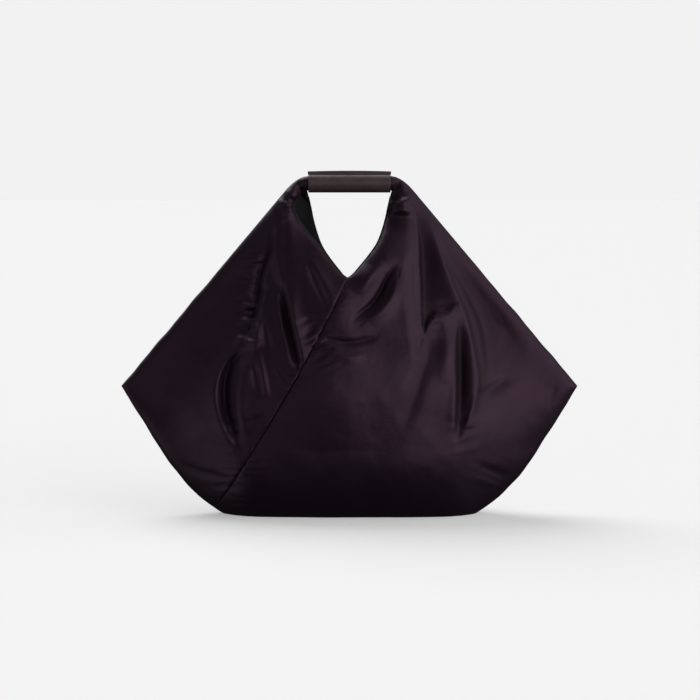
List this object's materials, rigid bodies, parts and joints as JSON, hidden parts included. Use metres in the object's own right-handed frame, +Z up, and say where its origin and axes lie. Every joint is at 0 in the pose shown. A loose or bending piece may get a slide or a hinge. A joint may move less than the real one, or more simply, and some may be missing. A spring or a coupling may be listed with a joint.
{
  "type": "tote bag",
  "caption": "Soft padded satin tote bag with pointed side tips, slanting seams, a V-shaped opening and a leather-wrapped handle, standing upright.",
  "frame": {"origin": "on the resting surface under the middle of the bag", "axes": "+X across the bag's width to the viewer's right, +Z up, the front with the handle's sewn edges upward faces -Y"},
  "size_m": [0.552, 0.1677, 0.4148],
  "materials": {
    "satin": "dark aubergine satin with a soft sheen",
    "lining": "matt near-black lining cloth",
    "leather": "dark brown smooth leather, semi-gloss"
  },
  "bodies": {
    "root": {"left_panel": "satin", "right_panel": "satin", "lining": "lining", "handle_sleeve": "leather"}
  },
  "joints": []
}
